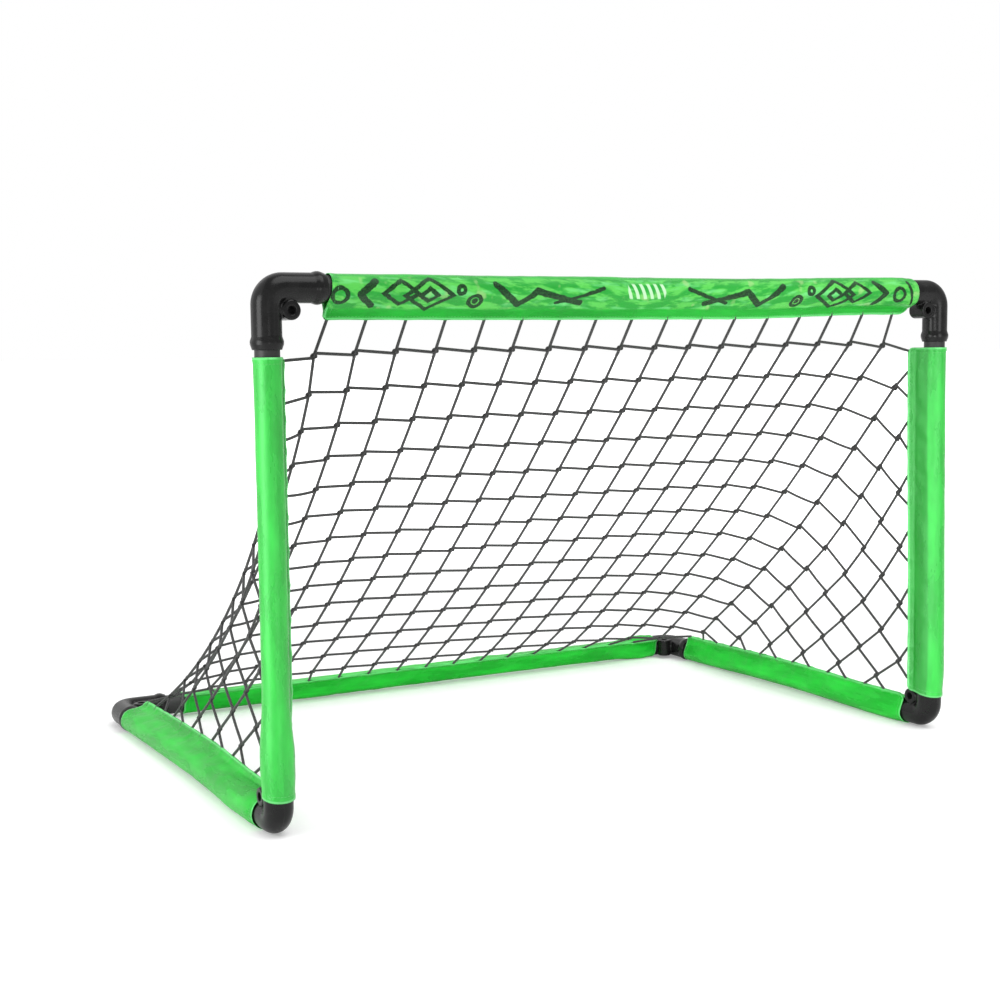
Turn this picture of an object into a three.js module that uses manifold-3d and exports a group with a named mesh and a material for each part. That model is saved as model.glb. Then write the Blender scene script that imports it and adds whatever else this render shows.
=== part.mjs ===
// Floorball goal: a push-fit tube frame, six moulded corner elbows, fabric sleeves and one knotted net.
// Millimetres, +Z up. The mouth faces -Y. The origin is on the ground under the middle of the goal.

import * as THREE from 'three';
import { mergeVertices } from 'three/addons/utils/BufferGeometryUtils.js';
import Module from 'manifold-3d';

const wasm = await Module();
wasm.setup();

// Whole goal, measured over the bodies of the elbows
const goalWidth = 900;
const goalDepth = 600;
const goalHeight = 560;

// Gap left wherever one piece sits in or against another
const clearance = 0.3;

// Tubes
const tubeDiameter = 25;
const tubeWall = 1.5;

// Elbows: two arms with a raised bead at each mouth, and a lug with an eye in the inner corner
const elbowDiameter = 30;
const elbowBend = 17;
const elbowArm = 60;
const socketDepth = 36;
const passageDiameter = 20;
const beadDiameter = 33;
const beadLength = 9;
const beadChamfer = 1.2;
const mouthDiameter = 30.8;
const mouthTaper = 5.5;
const lugDiameter = 19;
const lugLength = 24;
const lugOffset = 22;
const eyeDiameter = 9;

// Fabric sleeves: a pocket round the tube and a hem that the net pulls out
const clothThickness = 1;
const hemReach = 32;
const hemTipThickness = 2.6;
const seamWidth = 0.6;
const collarOverlap = 3;
const collarTaper = 13;
const looseTaper = 200;
const hemEndDrop = 7;

// Where each sleeve ends, from the centre line of the tube at that corner
const bannerLeftEnd = 63.5;
const bannerRightEnd = 41;
const postTopEnd = 67;
const postFootEnd = 28.5;
const sideFrontEnd = 34;
const sideRearEnd = 62;
const backLeftEnd = 82;
const backRightEnd = 33;
const hemRoundLength = 14;

// Net: threads, knots and the places where its edges meet the hems
const netRows = 12;
const netColumns = 15;
const threadWidth = 2.4;
const knotHeight = 1.3;
const netTopMargin = 68;
const netBackLeftMargin = 90;
const netBackRightMargin = 62;
const netPostTopMargin = 74;
const netPostFootMargin = 58;
const netSideFrontMargin = 70;
const netSideRearMargin = 77;
const knotSag = 0.14;

// Directions of the hems, in degrees
const bannerHemLean = 9;
const postHemTurn = 40;
const sideHemRise = 60;
const backHemRise = 30;

// Slopes of the sleeves' cut ends
const bannerLeftSlope = -0.09;
const bannerRightSlope = -0.11;
const lugSlope = 0.18;

// How tight the net is: rest length of a thread over the distance that it spans
const rowRestShare = 0.976;
const columnRestShare = 0.921;
const topRestShare = 0.79;
const backRestShare = 0.756;
const firstRowRestShare = 0.76;
const postRestShare = 0.48;
const sideRestShare = 0.53;

// Fineness of the round and relaxed shapes
const roundSides = 20;
const passageSides = 12;
const eyeSides = 12;
const bendSteps = 6;
const pocketSteps = 16;
const settleSteps = 2200;
const settleGain = 0.25;
const settleDamping = 0.96;
const threadSoftness = 0.0062;
const weldTolerance = 1e-4;

// Sizes that follow from these
const tubeRadius = tubeDiameter / 2;
const elbowRadius = elbowDiameter / 2;
const beadRadius = beadDiameter / 2;
const halfWidth = goalWidth / 2 - elbowRadius;
const halfDepth = goalDepth / 2 - elbowRadius;
const groundLine = beadRadius;
const barLine = goalHeight - elbowRadius;
const postLength = barLine - groundLine;
const tubeInset = elbowArm - socketDepth + clearance;
const pocketRadius = tubeRadius + clearance;
const collarRadius = beadRadius + clearance;
const hemRoot = 2 * clothThickness;

const plasticBlack = 0x2b2b2b;
const tubeBlack = 0x202020;
const fabricGreen = 0x33c455;
const netBlack = 0x1c1c1e;

// Makes the closed solid that the boolean operations need from a three.js geometry
function toSolid(geometry) {
  const bare = geometry.clone();
  bare.deleteAttribute('normal');
  bare.deleteAttribute('uv');
  const welded = mergeVertices(bare, weldTolerance);
  return new wasm.Manifold(new wasm.Mesh({
    numProp: 3,
    vertProperties: new Float32Array(welded.attributes.position.array),
    triVerts: new Uint32Array(welded.index.array),
  }));
}

// Turns the result of the boolean operations back into a geometry
function toGeometry(solid) {
  const { vertProperties, triVerts } = solid.getMesh();
  return meshGeometry(vertProperties, triVerts);
}

function meshGeometry(places, triangles) {
  const geometry = new THREE.BufferGeometry();
  geometry.setAttribute('position', new THREE.BufferAttribute(new Float32Array(places), 3));
  geometry.setIndex(new THREE.BufferAttribute(new Uint32Array(triangles), 1));
  geometry.computeVertexNormals();
  return geometry;
}

function circleShape(radius) {
  const shape = new THREE.Shape();
  shape.absarc(0, 0, radius, 0, 2 * Math.PI);
  return shape;
}

// Turned piece about +Y, lying on the arm of an elbow that points along +X or +Z
function turnedOnArm(profile, alongX) {
  const points = profile.map(([radius, height]) => new THREE.Vector2(radius, height));
  const geometry = new THREE.LatheGeometry(points, roundSides);
  return alongX ? geometry.rotateZ(-Math.PI / 2) : geometry.rotateX(Math.PI / 2);
}

// Centre line of an elbow: one step for each straight arm and even steps round the bend
class ElbowLine extends THREE.Curve {
  getPointAt(share, target = new THREE.Vector3()) {
    const step = share * (bendSteps + 2);
    const straight = elbowArm - elbowBend;
    if (step < 1) {
      return target.set(elbowArm - step * straight, 0, 0);
    }
    if (step > bendSteps + 1) {
      return target.set(0, 0, elbowBend + (step - bendSteps - 1) * straight);
    }
    const turn = this.turnAt(step);
    return target.set(elbowBend * (1 - Math.sin(turn)), 0, elbowBend * (1 - Math.cos(turn)));
  }

  getTangentAt(share, target = new THREE.Vector3()) {
    const turn = this.turnAt(share * (bendSteps + 2));
    return target.set(-Math.cos(turn), 0, Math.sin(turn));
  }

  turnAt(step) {
    return THREE.MathUtils.clamp((step - 1) / bendSteps, 0, 1) * Math.PI / 2;
  }
}

function elbowSweep(radius, sides) {
  return new THREE.ExtrudeGeometry(circleShape(radius), {
    steps: bendSteps + 2,
    curveSegments: sides / 2,
    extrudePath: new ElbowLine(),
  });
}

// Elbow with its corner at the origin, its arms along +X and +Z, and its lug's axis along Y
function elbowGeometry() {
  const beadStart = elbowArm - beadLength;
  const beadProfile = [
    [0, beadStart],
    [beadRadius - beadChamfer, beadStart],
    [beadRadius, beadStart + beadChamfer],
    [beadRadius, elbowArm - mouthTaper],
    [mouthDiameter / 2, elbowArm],
    [0, elbowArm],
  ];
  const socketProfile = [
    [0, elbowArm - socketDepth],
    [pocketRadius, elbowArm - socketDepth],
    [pocketRadius, elbowArm + clearance],
    [0, elbowArm + clearance],
  ];
  const lugRadius = lugDiameter / 2;
  const eyeRadius = eyeDiameter / 2;
  const lug = new THREE.CylinderGeometry(lugRadius, lugRadius, lugLength, roundSides);
  const eye = new THREE.CylinderGeometry(eyeRadius, eyeRadius, lugLength + 2 * clearance, eyeSides);
  lug.translate(lugOffset, 0, lugOffset);
  eye.translate(lugOffset, 0, lugOffset);
  let elbow = toSolid(elbowSweep(elbowRadius, roundSides)).add(toSolid(lug));
  for (const alongX of [true, false]) {
    elbow = elbow.add(toSolid(turnedOnArm(beadProfile, alongX)));
  }
  for (const alongX of [true, false]) {
    elbow = elbow.subtract(toSolid(turnedOnArm(socketProfile, alongX)));
  }
  elbow = elbow.subtract(toSolid(elbowSweep(passageDiameter / 2, passageSides)));
  return toGeometry(elbow.subtract(toSolid(eye)));
}

// Round hollow tube along +X from the origin
function tubeGeometry(length) {
  const ring = circleShape(tubeRadius);
  ring.holes.push(circleShape(tubeRadius - tubeWall));
  const geometry = new THREE.ExtrudeGeometry(ring, {
    depth: length,
    steps: 1,
    curveSegments: roundSides / 2,
    bevelEnabled: false,
  });
  return geometry.rotateY(Math.PI / 2);
}

// Closed outline round a circle, drawn out along its first axis to a tip
function pocketOutline(radius, tip, tipThickness) {
  const halfTip = tipThickness / 2;
  const tipDistance = Math.hypot(tip, halfTip);
  const touch = Math.atan2(halfTip, tip) + Math.acos(radius / tipDistance);
  const points = [[tip, -halfTip], [tip, halfTip]];
  for (let step = 0; step <= pocketSteps; step += 1) {
    const angle = touch + (2 * Math.PI - 2 * touch) * step / pocketSteps;
    points.push([radius * Math.cos(angle), radius * Math.sin(angle)]);
  }
  return points;
}

// Where the pocket's two layers meet, halfway out along the hem
function seamReach(radius) {
  return (radius - clothThickness + hemReach) / 2;
}

// Slopes of a sleeve's cut end that leans away from the elbow's lug
function lugSlopes(along, hem, towardsLug) {
  const side = new THREE.Vector3().crossVectors(along, hem);
  return { slopeY: lugSlope * hem.dot(towardsLug), slopeZ: lugSlope * side.dot(towardsLug) };
}

// Sleeve along +X with its hem towards +Y. A station gives the pocket's radius, the hem's reach and
// the slopes of that cross-section towards +Y and +Z.
function sleeveGeometry(stations) {
  const places = [];
  const triangles = [];
  const count = pocketSteps + 3;
  for (const { at, radius, reach, slopeY = 0, slopeZ = 0 } of stations) {
    const rings = [
      pocketOutline(radius + clothThickness, reach, hemTipThickness),
      pocketOutline(radius, seamReach(radius), seamWidth),
    ];
    for (const [y, z] of rings.flat()) {
      places.push(at + slopeY * y + slopeZ * z, y, z);
    }
  }
  function quad(a, b, c, d) {
    triangles.push(a, b, c, a, c, d);
  }
  for (let index = 0; index < count; index += 1) {
    const next = (index + 1) % count;
    const last = 2 * count * (stations.length - 1);
    for (let start = 0; start < last; start += 2 * count) {
      const end = start + 2 * count;
      quad(start + index, start + next, end + next, end + index);
      quad(start + count + next, start + count + index, end + count + index, end + count + next);
    }
    quad(index, count + index, count + next, next);
    quad(last + next, last + count + next, last + count + index, last + index);
  }
  return meshGeometry(places, triangles);
}

// Stations of one sleeve's end, from the cut edge inwards. An end with a taper covers an elbow's bead
// and narrows to the tube over that length.
function sleeveEnd(distance, taper, slopes, inwards) {
  const radius = taper ? collarRadius : pocketRadius;
  const shortHem = Math.max(hemReach - hemEndDrop, seamReach(radius) + hemRoot);
  const stations = [
    { at: distance, radius, reach: shortHem, ...slopes },
    { at: distance + hemRoundLength / 2, radius, reach: hemReach, ...slopes },
  ];
  if (taper) {
    const collarEnd = elbowArm + collarOverlap;
    stations.push({ at: collarEnd, radius, reach: hemReach });
    stations.push({ at: collarEnd + taper, radius: pocketRadius, reach: hemReach });
  }
  return inwards ? stations : stations.reverse().map((station) => ({ ...station, at: -station.at }));
}

function sleeveStations(length, first, last) {
  const farStations = last.map((station) => ({ ...station, at: station.at + length }));
  return [...first, ...farStations];
}

// Cuts away what would lie below the ground, for a sleeve whose hem points along the given direction
function cutAtGround(geometry, frame) {
  const solid = toSolid(geometry.clone().applyMatrix4(frame));
  const slab = new THREE.BoxGeometry(2 * goalWidth, 2 * goalDepth, goalHeight);
  slab.translate(0, 0, -goalHeight / 2);
  const cut = toGeometry(solid.subtract(toSolid(slab)));
  return cut.applyMatrix4(frame.clone().invert());
}

// Frame with +X along one direction and +Y along another, square to it
function frameAt(origin, along, across) {
  const side = new THREE.Vector3().crossVectors(along, across);
  return new THREE.Matrix4().makeBasis(along, across, side).setPosition(origin);
}

function addMesh(group, name, geometry, material, frame) {
  const mesh = new THREE.Mesh(geometry, material);
  mesh.name = name;
  mesh.applyMatrix4(frame);
  group.add(mesh);
}

const rightwards = new THREE.Vector3(1, 0, 0);
const leftwards = new THREE.Vector3(-1, 0, 0);
const backwards = new THREE.Vector3(0, 1, 0);
const forwards = new THREE.Vector3(0, -1, 0);
const upwards = new THREE.Vector3(0, 0, 1);
const downwards = new THREE.Vector3(0, 0, -1);

// Unit direction turned by an angle from one direction towards another
function turnedDirection(from, towards, degrees) {
  const angle = THREE.MathUtils.degToRad(degrees);
  const direction = from.clone().multiplyScalar(Math.cos(angle));
  return direction.addScaledVector(towards, Math.sin(angle));
}

// Corners of the frame, on the tubes' centre lines
function corner(side, atBack, atTop) {
  return new THREE.Vector3(side * halfWidth, atBack ? halfDepth : -halfDepth, atTop ? barLine : groundLine);
}

// Hem directions, by piece
const bannerHem = turnedDirection(downwards, backwards, bannerHemLean);
const backHem = turnedDirection(forwards, upwards, backHemRise);

function inwardsFrom(side) {
  return side < 0 ? rightwards : leftwards;
}

function postHem(side) {
  return turnedDirection(inwardsFrom(side), backwards, postHemTurn);
}

function sideHem(side) {
  return turnedDirection(inwardsFrom(side), upwards, sideHemRise);
}

function addTubes(group) {
  const material = new THREE.MeshStandardMaterial({ color: tubeBlack, roughness: 0.5, metalness: 0 });
  const runs = [
    ['crossbar_tube', corner(-1, false, true), rightwards, upwards, 2 * halfWidth],
    ['back_tube', corner(-1, true, false), rightwards, upwards, 2 * halfWidth],
    ['left_post_tube', corner(-1, false, false), upwards, backwards, postLength],
    ['right_post_tube', corner(1, false, false), upwards, backwards, postLength],
    ['left_side_tube', corner(-1, false, false), backwards, upwards, 2 * halfDepth],
    ['right_side_tube', corner(1, false, false), backwards, upwards, 2 * halfDepth],
  ];
  for (const [name, start, along, across, span] of runs) {
    const geometry = tubeGeometry(span - 2 * tubeInset);
    start.addScaledVector(along, tubeInset);
    addMesh(group, name, geometry, material, frameAt(start, along, across));
  }
}

function addElbows(group) {
  const material = new THREE.MeshStandardMaterial({ color: plasticBlack, roughness: 0.35, metalness: 0 });
  const geometry = elbowGeometry();
  const places = [
    ['top_left_elbow', corner(-1, false, true), rightwards, downwards],
    ['top_right_elbow', corner(1, false, true), leftwards, downwards],
    ['front_left_elbow', corner(-1, false, false), backwards, upwards],
    ['front_right_elbow', corner(1, false, false), backwards, upwards],
    ['rear_left_elbow', corner(-1, true, false), rightwards, forwards],
    ['rear_right_elbow', corner(1, true, false), leftwards, forwards],
  ];
  for (const [name, origin, firstArm, secondArm] of places) {
    const lugAxis = new THREE.Vector3().crossVectors(secondArm, firstArm);
    addMesh(group, name, geometry, material, frameAt(origin, firstArm, lugAxis));
  }
}

function addSleeves(group) {
  const material = new THREE.MeshStandardMaterial({ color: fabricGreen, roughness: 0.8, metalness: 0 });
  const banner = sleeveStations(
    2 * halfWidth,
    sleeveEnd(bannerLeftEnd, 0, { slopeY: bannerLeftSlope }, true),
    sleeveEnd(bannerRightEnd, collarTaper, { slopeY: bannerRightSlope }, false),
  );
  const bannerFrame = frameAt(corner(-1, false, true), rightwards, bannerHem);
  addMesh(group, 'banner_sleeve', sleeveGeometry(banner), material, bannerFrame);

  const back = sleeveStations(
    2 * halfWidth,
    sleeveEnd(backLeftEnd, 0, {}, true),
    sleeveEnd(backRightEnd, collarTaper, {}, false),
  );
  const backFrame = frameAt(corner(-1, true, false), rightwards, backHem);
  addMesh(group, 'back_sleeve', cutAtGround(sleeveGeometry(back), backFrame), material, backFrame);

  for (const [hand, side] of [['left', -1], ['right', 1]]) {
    const post = sleeveStations(
      postLength,
      sleeveEnd(postFootEnd, collarTaper, lugSlopes(upwards, postHem(side), backwards), true),
      sleeveEnd(postTopEnd, 0, {}, false),
    );
    const postFrame = frameAt(corner(side, false, false), upwards, postHem(side));
    addMesh(group, `${hand}_post_sleeve`, sleeveGeometry(post), material, postFrame);

    const ground = sleeveStations(
      2 * halfDepth,
      sleeveEnd(sideFrontEnd, looseTaper, {}, true),
      sleeveEnd(sideRearEnd, 0, {}, false),
    );
    const groundFrame = frameAt(corner(side, false, false), backwards, sideHem(side));
    const groundSleeve = cutAtGround(sleeveGeometry(ground), groundFrame);
    addMesh(group, `${hand}_side_sleeve`, groundSleeve, material, groundFrame);
  }
}

// One point of the net. A place on a hem is fixed and keeps the hem's direction. The share is that of
// the usual rest length which the threads at this point have.
function netPoint(place, hem = null, restShare = 1) {
  return { place, hem, restShare, speed: new THREE.Vector3(), pull: new THREE.Vector3() };
}

function evenPlaces(first, last, count) {
  return Array.from({ length: count }, (_, index) => first + (last - first) * index / (count - 1));
}

// A point on a hem's tip, some way along from a corner
function onHem(origin, along, distance, hem, restShare) {
  const place = origin.clone().addScaledVector(along, distance);
  return netPoint(place.addScaledVector(hem, hemReach + clearance), hem, restShare);
}

// The net is one sheet with rows across the goal and columns down its slope. Cut flat it is a
// hexagon: each row to the middle has one more knot at both ends, which fill the two side openings.
function layNet() {
  const half = netRows / 2;
  const topPlaces = evenPlaces(netTopMargin, 2 * halfWidth - netTopMargin, netColumns);
  const backPlaces = evenPlaces(netBackLeftMargin, 2 * halfWidth - netBackRightMargin, netColumns);
  const postPlaces = evenPlaces(netPostTopMargin, postLength - netPostFootMargin, 2 * half - 1);
  const sidePlaces = evenPlaces(2 * halfDepth - netSideRearMargin, netSideFrontMargin, 2 * half - 1);
  const points = new Map();
  const ends = new Map();
  const key = (row, column) => `${row},${column}`;
  const extraColumns = (row) => Math.min(row, netRows + 1 - row) - 1;

  for (let column = 0; column < netColumns; column += 1) {
    const top = onHem(corner(-1, false, true), rightwards, topPlaces[column], bannerHem, topRestShare);
    const back = onHem(corner(-1, true, false), rightwards, backPlaces[column], backHem, backRestShare);
    points.set(key(0, column), top);
    points.set(key(netRows + 1, column), back);
    for (let row = 1; row <= netRows; row += 1) {
      const place = top.place.clone().lerp(back.place, row / (netRows + 1));
      points.set(key(row, column), netPoint(place));
    }
  }
  for (const side of [-1, 1]) {
    const columnAt = (extra) => (side < 0 ? -extra : netColumns - 1 + extra);
    const onPost = (index, share) => onHem(
      corner(side, false, true), downwards, postPlaces[index], postHem(side), share,
    );
    const onSide = (index) => onHem(
      corner(side, false, false), backwards, sidePlaces[index], sideHem(side), sideRestShare,
    );
    for (let row = 1; row <= netRows; row += 1) {
      const extra = extraColumns(row);
      const index = 2 * extra;
      const postShare = row > 1 ? postRestShare : firstRowRestShare;
      const end = row <= half ? onPost(index, postShare) : onSide(index);
      points.set(key(row, columnAt(extra + 1)), end);
      const start = points.get(key(row, columnAt(0)));
      for (let step = 1; step <= extra; step += 1) {
        const place = start.place.clone().lerp(end.place, step / (extra + 1));
        points.set(key(row, columnAt(step)), netPoint(place));
      }
    }
    for (let extra = 1; extra < half; extra += 1) {
      const index = 2 * extra - 1;
      ends.set(`above ${key(extra + 1, columnAt(extra))}`, onPost(index, postRestShare));
      ends.set(`below ${key(netRows - extra, columnAt(extra))}`, onSide(index));
    }
  }

  const knots = [];
  for (const [name, point] of points) {
    if (point.hem) {
      continue;
    }
    const [row, column] = name.split(',').map(Number);
    point.left = points.get(key(row, column - 1));
    point.right = points.get(key(row, column + 1));
    point.above = ends.get(`above ${name}`) ?? points.get(key(row - 1, column));
    point.below = ends.get(`below ${name}`) ?? points.get(key(row + 1, column));
    knots.push(point);
  }
  return knots;
}

// Each thread of the net once, with its rest length
function listThreads(knots) {
  const columnPitch = (2 * halfWidth - 2 * netTopMargin) / (netColumns - 1);
  const rowRest = rowRestShare * columnPitch;
  const first = corner(0, false, true).addScaledVector(bannerHem, hemReach + clearance);
  const last = corner(0, true, false).addScaledVector(backHem, hemReach + clearance);
  const spans = netRows - 1 + topRestShare + backRestShare;
  const columnRest = columnRestShare * first.distanceTo(last) / spans;
  const threads = [];
  function addThread(from, to, rest) {
    threads.push({ from, to, rest: rest * from.restShare * to.restShare });
  }
  for (const knot of knots) {
    addThread(knot, knot.right, rowRest);
    addThread(knot, knot.below, columnRest);
    if (knot.left.hem) {
      addThread(knot.left, knot, rowRest);
    }
    if (knot.above.hem) {
      addThread(knot.above, knot, columnRest);
    }
  }
  return threads;
}

// Lets the net settle: taut threads pull, slack ones hardly do, and each knot hangs by its weight
function settleNet(knots, threads) {
  const span = new THREE.Vector3();
  for (let step = 0; step < settleSteps; step += 1) {
    for (const knot of knots) {
      knot.pull.set(0, 0, -knotSag);
    }
    for (const { from, to, rest } of threads) {
      span.subVectors(to.place, from.place);
      const length = span.length();
      const tension = Math.max(length - rest, 0) + threadSoftness * length;
      span.multiplyScalar(tension / length);
      from.pull.add(span);
      to.pull.sub(span);
    }
    for (const knot of knots) {
      knot.speed.addScaledVector(knot.pull, settleGain).multiplyScalar(settleDamping);
      knot.place.add(knot.speed);
    }
  }
}

// Net as one solid: a square knot with a raised middle at each crossing and square threads between.
// Where a thread meets a hem, its end is cut parallel to the hem's tip.
function netGeometry(knots) {
  const places = [];
  const triangles = [];
  const half = threadWidth / 2;
  const quadSigns = [[-1, -1], [1, -1], [1, 1], [-1, 1]];

  function addVertex(place) {
    places.push(place.x, place.y, place.z);
    return places.length / 3 - 1;
  }
  function addWall(ringA, ringB) {
    for (let index = 0; index < ringA.length; index += 1) {
      const next = (index + 1) % ringA.length;
      triangles.push(ringA[index], ringA[next], ringB[next]);
      triangles.push(ringA[index], ringB[next], ringB[index]);
    }
  }
  function addCone(ring, apex) {
    for (let index = 0; index < ring.length; index += 1) {
      triangles.push(ring[index], ring[(index + 1) % ring.length], apex);
    }
  }

  for (const knot of knots) {
    const across = knot.right.place.clone().sub(knot.left.place).normalize();
    const down = knot.below.place.clone().sub(knot.above.place).normalize();
    const normal = across.clone().cross(down);
    const reach = half / normal.length();
    normal.normalize();
    knot.normal = normal;
    const vertices = new Map();
    for (const [a, b] of quadSigns) {
      for (const n of [-1, 1]) {
        const place = knot.place.clone().addScaledVector(across, a * reach);
        place.addScaledVector(down, b * reach).addScaledVector(normal, n * half);
        vertices.set(`${a},${b},${n}`, addVertex(place));
      }
    }
    const at = (a, b, n) => vertices.get(`${a},${b},${n}`);
    knot.rightRing = quadSigns.map(([b, n]) => at(1, b, n));
    knot.leftRing = quadSigns.map(([b, n]) => at(-1, b, n));
    knot.belowRing = quadSigns.map(([n, a]) => at(a, 1, n));
    knot.aboveRing = quadSigns.map(([n, a]) => at(a, -1, n));
    for (const n of [-1, 1]) {
      const apex = addVertex(knot.place.clone().addScaledVector(normal, n * (half + knotHeight)));
      const ring = quadSigns.map(([a, b]) => at(a, b, n));
      addCone(n > 0 ? ring : ring.reverse(), apex);
    }
  }

  // Ring at a hem, with the corners in the order of the knot's ring that it joins
  function hemRing(knot, end, direction, isRow) {
    const normal = knot.normal.clone().addScaledVector(direction, -knot.normal.dot(direction)).normalize();
    const side = isRow ? normal.clone().cross(direction) : direction.clone().cross(normal);
    return quadSigns.map(([first, second]) => {
      const [sideSign, normalSign] = isRow ? [first, second] : [second, first];
      const offset = side.clone().multiplyScalar(sideSign * half);
      offset.addScaledVector(normal, normalSign * half);
      offset.addScaledVector(direction, -offset.dot(end.hem) / direction.dot(end.hem));
      return addVertex(end.place.clone().add(offset));
    });
  }
  for (const knot of knots) {
    const links = [
      [knot.right, knot.rightRing, 'leftRing', true, true],
      [knot.below, knot.belowRing, 'aboveRing', false, true],
      [knot.left, knot.leftRing, 'rightRing', true, false],
      [knot.above, knot.aboveRing, 'belowRing', false, false],
    ];
    for (const [other, ring, otherRing, isRow, onwards] of links) {
      if (!other.hem) {
        if (onwards) {
          addWall(ring, other[otherRing]);
        }
        continue;
      }
      const start = onwards ? knot.place : other.place;
      const end = onwards ? other.place : knot.place;
      const direction = end.clone().sub(start).normalize();
      const tip = hemRing(knot, other, direction, isRow);
      if (onwards) {
        addWall(ring, tip);
        triangles.push(tip[0], tip[1], tip[2], tip[0], tip[2], tip[3]);
      } else {
        addWall(tip, ring);
        triangles.push(tip[2], tip[1], tip[0], tip[3], tip[2], tip[0]);
      }
    }
  }
  return meshGeometry(places, triangles);
}

function addNet(group) {
  const material = new THREE.MeshStandardMaterial({ color: netBlack, roughness: 0.9, metalness: 0 });
  const knots = layNet();
  const threads = listThreads(knots);
  settleNet(knots, threads);
  addMesh(group, 'net', netGeometry(knots), material, new THREE.Matrix4());
}

const goal = new THREE.Group();
addTubes(goal);
addElbows(goal);
addSleeves(goal);
addNet(goal);

export default goal;
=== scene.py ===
"""Floorball goal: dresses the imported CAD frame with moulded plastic, satin sleeves and a knotted net.

Lengths are in metres, in the CAD part's own frame: +Z up, the mouth towards -Y, the ground at z = 0.
"""

import dataclasses
import functools
import itertools
import math

import bpy
import numpy as np
from mathutils import Matrix, Vector


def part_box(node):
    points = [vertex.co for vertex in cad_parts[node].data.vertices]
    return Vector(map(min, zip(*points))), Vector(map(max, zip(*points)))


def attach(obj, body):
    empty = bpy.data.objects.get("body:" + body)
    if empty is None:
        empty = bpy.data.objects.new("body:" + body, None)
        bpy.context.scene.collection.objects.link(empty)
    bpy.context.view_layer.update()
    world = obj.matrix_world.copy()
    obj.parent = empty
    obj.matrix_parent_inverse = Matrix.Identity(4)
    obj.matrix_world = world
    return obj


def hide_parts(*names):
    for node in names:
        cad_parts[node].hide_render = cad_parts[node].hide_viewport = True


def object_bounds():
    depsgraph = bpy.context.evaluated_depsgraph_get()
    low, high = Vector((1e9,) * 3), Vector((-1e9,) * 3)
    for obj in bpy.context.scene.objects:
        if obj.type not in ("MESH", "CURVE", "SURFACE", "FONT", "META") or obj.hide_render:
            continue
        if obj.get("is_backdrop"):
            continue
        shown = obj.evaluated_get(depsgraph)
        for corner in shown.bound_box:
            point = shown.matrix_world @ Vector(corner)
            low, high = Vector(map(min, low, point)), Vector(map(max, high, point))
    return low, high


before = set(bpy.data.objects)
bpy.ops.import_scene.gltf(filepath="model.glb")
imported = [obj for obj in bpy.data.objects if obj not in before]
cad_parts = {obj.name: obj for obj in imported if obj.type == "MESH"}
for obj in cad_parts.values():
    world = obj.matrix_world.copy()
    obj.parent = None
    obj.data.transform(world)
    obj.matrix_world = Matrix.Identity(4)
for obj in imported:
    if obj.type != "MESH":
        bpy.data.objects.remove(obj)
cad_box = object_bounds()


def middle(node):
    low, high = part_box(node)
    return (low + high) / 2


def tube_size(node):
    low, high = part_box(node)
    return high - low


# Centre lines and sizes, read from the CAD nodes
HALF_WIDTH = middle("right_post_tube").x
HALF_DEPTH = middle("back_tube").y
BAR_LINE = middle("crossbar_tube").z
GROUND_LINE = middle("back_tube").z
TUBE_RADIUS = tube_size("right_post_tube").y / 2
POST_LENGTH = BAR_LINE - GROUND_LINE

RIGHT = np.array([1.0, 0.0, 0.0])
BACK = np.array([0.0, 1.0, 0.0])
UP = np.array([0.0, 0.0, 1.0])
HANDS = {"left": -1, "right": 1}

# Moulded elbows
ELBOW_RADIUS = 0.015
ELBOW_BEND = 0.017
ELBOW_ARM = 0.060
SOCKET_DEPTH = 0.036
SOCKET_RADIUS = 0.0128
PASSAGE_RADIUS = 0.010
BEAD_RADIUS = 0.0165
BEAD_START = 0.051
BEAD_RISE = 0.004
BEAD_TAPER = 0.0055
MOUTH_RADIUS = 0.0146
MOUTH_CHAMFER = 0.0006
LUG_RADIUS = 0.0095
LUG_HALF_LENGTH = 0.012
LUG_OFFSET = 0.022
LUG_EDGE = 0.0012
LUG_FILLET = 0.004
EYE_RADIUS = 0.0043
EYE_CHAMFER = 0.0004
ELBOW_GRID = 0.001

# Tubes
TUBE_WALL = 0.0015
TUBE_EDGE = 0.0004
TUBE_SIDES = 48
SHARP_ANGLE = math.radians(40)

# Sleeves
CLOTH = 0.0005
SLEEVE_CUT = 0.124
SLEEVE_RADIUS = 0.0136
END_RADIUS = 0.0140
SIDE_END_RADIUS = 0.0150
COLLAR_RADIUS = 0.0172
COLLAR_OVERLAP = 0.003
GATHER_RADIUS = 0.0158
GATHER_OVERLAP = 0.004
LUG_SLOPE = 0.18
RIM_HEIGHT = 0.0005
RIM_WIDTH = 0.0045
RIM_STEP = 0.001
STATION_STEP = 0.0032

# Hems, and what the net's cords do to them
HEM_REACH = 0.032
HEM_BAND = 0.009
HEM_FOLD = 0.00045
HEM_GAP = 0.0003
TURN_IN = 0.001
GIRTH_SHARE = 1.4
HEM_SCALLOP = 0.00025
SCALLOP_WIDTH = 0.018
THREAD_BULGE = 0.0009
THREAD_WIDTH = 0.0032

# Directions of the hems, in degrees
BANNER_HEM_LEAN = 9
BACK_HEM_RISE = 30
POST_HEM_TURN = 40
SIDE_HEM_RISE = 60

# Cut at the foot, taper above it and height of the folds, which differ on the two posts
POST_FOOT_CUT = {"left": 0.0255, "right": 0.0285}
POST_TAPER = {"left": 0.060, "right": 0.380}
POST_FOLDS = {"left": 0.0007, "right": 0.0012}

# Points across a sleeve's cloth
FLAP_POINTS = 4
FOLD_POINTS = 5
FREE_POINTS = 10
ARC_POINTS = 26

# Folds, with sizes across and along the cloth
FOLD_SIZE = (0.030, 0.021)
LONG_FOLD_SIZE = (0.014, 0.110)
FOLD_SLANT = 0.6
FOLD_SHIFT = 20
OFF_TUBE = (0.018, 0.034)

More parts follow.
